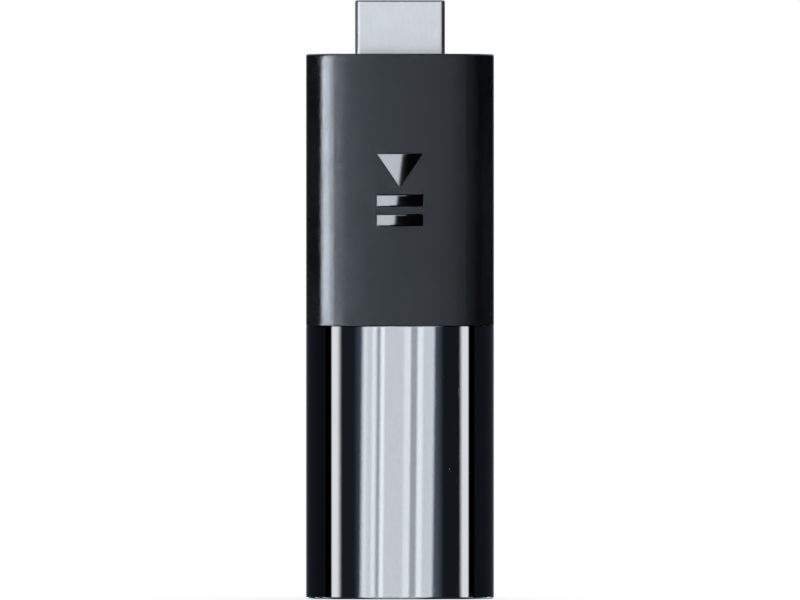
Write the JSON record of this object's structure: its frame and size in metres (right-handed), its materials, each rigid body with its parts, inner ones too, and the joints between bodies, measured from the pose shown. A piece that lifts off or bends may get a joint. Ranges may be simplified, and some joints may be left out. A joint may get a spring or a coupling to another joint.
{
  "type": "streaming media player stick",
  "caption": "Slim stick that plugs straight into a television video socket: matte upper casing with an inlaid symbol, glossy lower sleeve, bare metal plug on one end.",
  "frame": {"origin": "centre of the flat lower end face", "axes": "+Z along the stick towards the tip of the plug, -Y out of the front face with the symbol, +X to the right seen from the front"},
  "size_m": [0.029, 0.0153, 0.0924],
  "materials": {
    "graphite_grey_plastic": "fine mould texture, satin-matte, dark metallic grey",
    "piano_black_plastic": "high-gloss polished black moulding",
    "polished_metal": "mirror-polished inlay",
    "nickel_steel": "satin nickel-plated sheet steel",
    "connector_black": "moulded glass-filled insulator",
    "gold_contact": "gold-plated spring contact",
    "circuit_board": "glass-epoxy laminate with solder mask",
    "chip_black": "moulded epoxy chip package",
    "shield_tinplate": "tin-plated shield sheet",
    "thermal_pad": "soft silicone gap filler",
    "spreader_aluminium": "rolled aluminium plate",
    "cable_black": "coaxial cable jacket",
    "antenna_flex": "amber flexible circuit with copper traces",
    "ceramic_tan": "multilayer ceramic with tinned ends",
    "ceramic_white": "ceramic package",
    "ferrite_grey": "pressed ferrite powder",
    "resistor_black": "glazed resistor body with tinned ends",
    "led_lens": "milky diode resin",
    "clear_light_pipe": "clear moulded light guide",
    "foam": "open-cell foam"
  },
  "bodies": {
    "root": {"front_cover": "graphite_grey_plastic", "rear_cover": "graphite_grey_plastic", "gloss_sleeve": "piano_black_plastic", "front_emblem": "polished_metal", "hdmi_shell": "nickel_steel", "hdmi_insulator": "connector_black", "hdmi_front_contacts": "gold_contact", "hdmi_rear_contacts": "gold_contact", "usb_shell": "nickel_steel", "usb_insulator": "connector_black", "usb_contacts": "gold_contact", "main_board": "circuit_board", "system_chip": "chip_black", "memory_chips": "chip_black", "storage_chip": "chip_black", "front_shield_frame": "shield_tinplate", "front_shield_lid": "shield_tinplate", "rear_shield_can": "shield_tinplate", "chip_thermal_pad": "thermal_pad", "lid_thermal_pad": "thermal_pad", "rear_thermal_pad": "thermal_pad", "front_heat_spreader": "spreader_aluminium", "rear_heat_spreader": "spreader_aluminium", "wireless_board": "circuit_board", "wireless_can": "shield_tinplate", "antenna_connector": "gold_contact", "antenna_cable": "cable_black", "wifi_antenna": "antenna_flex", "bluetooth_antenna": "ceramic_white", "power_chip": "chip_black", "power_inductors": "ferrite_grey", "ceramic_capacitors": "ceramic_tan", "chip_resistors": "resistor_black", "main_crystal": "shield_tinplate", "surge_arrays": "chip_black", "status_led": "led_lens", "light_pipe": "clear_light_pipe", "foam_pad": "foam"}
  },
  "joints": []
}
